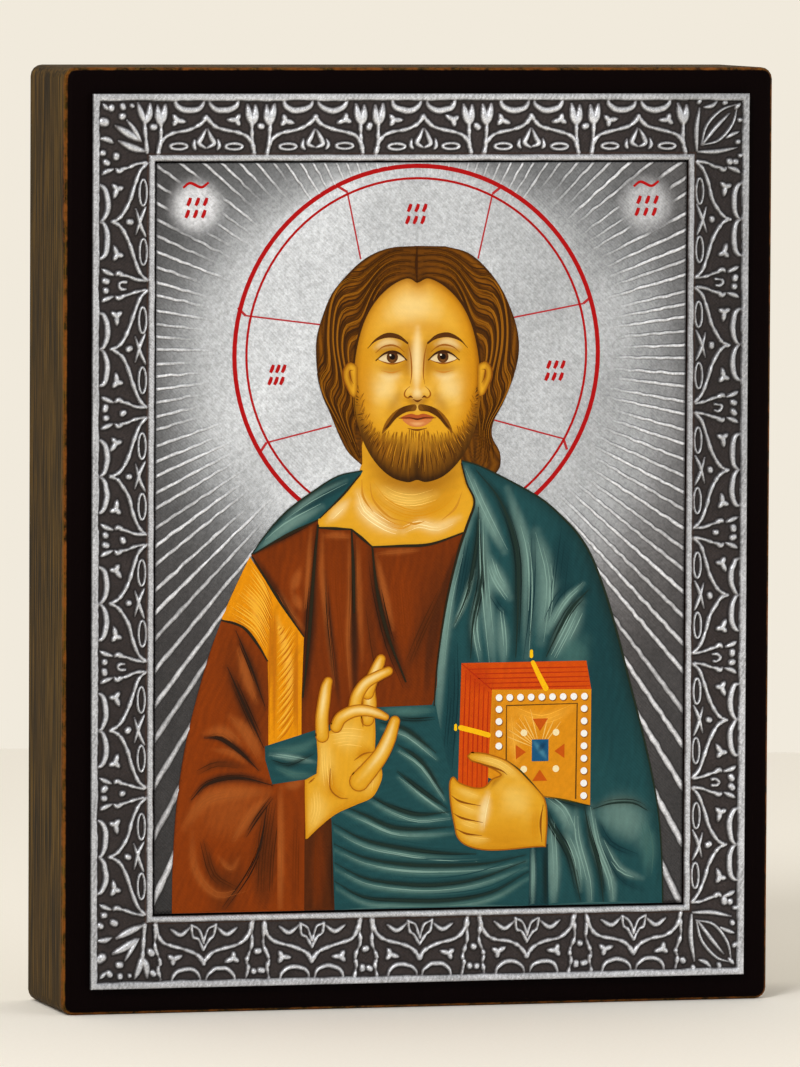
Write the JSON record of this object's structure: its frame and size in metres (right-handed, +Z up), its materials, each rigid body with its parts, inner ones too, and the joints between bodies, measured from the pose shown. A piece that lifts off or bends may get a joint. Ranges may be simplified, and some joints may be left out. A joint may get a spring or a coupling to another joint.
{
  "type": "icon panel",
  "caption": "Standing wooden icon block with a chased silver border of arches and leaves round a rayed, painted picture panel.",
  "frame": {"origin": "middle of the underside, midway between the back and the border's front", "axes": "+Z up along the panel's height, +X to the viewer's right, -Y out of the picture, +Y out of the back"},
  "size_m": [0.14, 0.0316, 0.18],
  "materials": {
    "dark_wood": "satin stained wood, worn warm arrises, black painted front",
    "chased_silver": "bright chased ridges on a dark oxidised ground",
    "silvered_panel": "silvered woven ground with painted figure"
  },
  "bodies": {
    "root": {"wood_board": "dark_wood", "silver_border": "chased_silver", "picture_panel": "silvered_panel"}
  },
  "joints": []
}
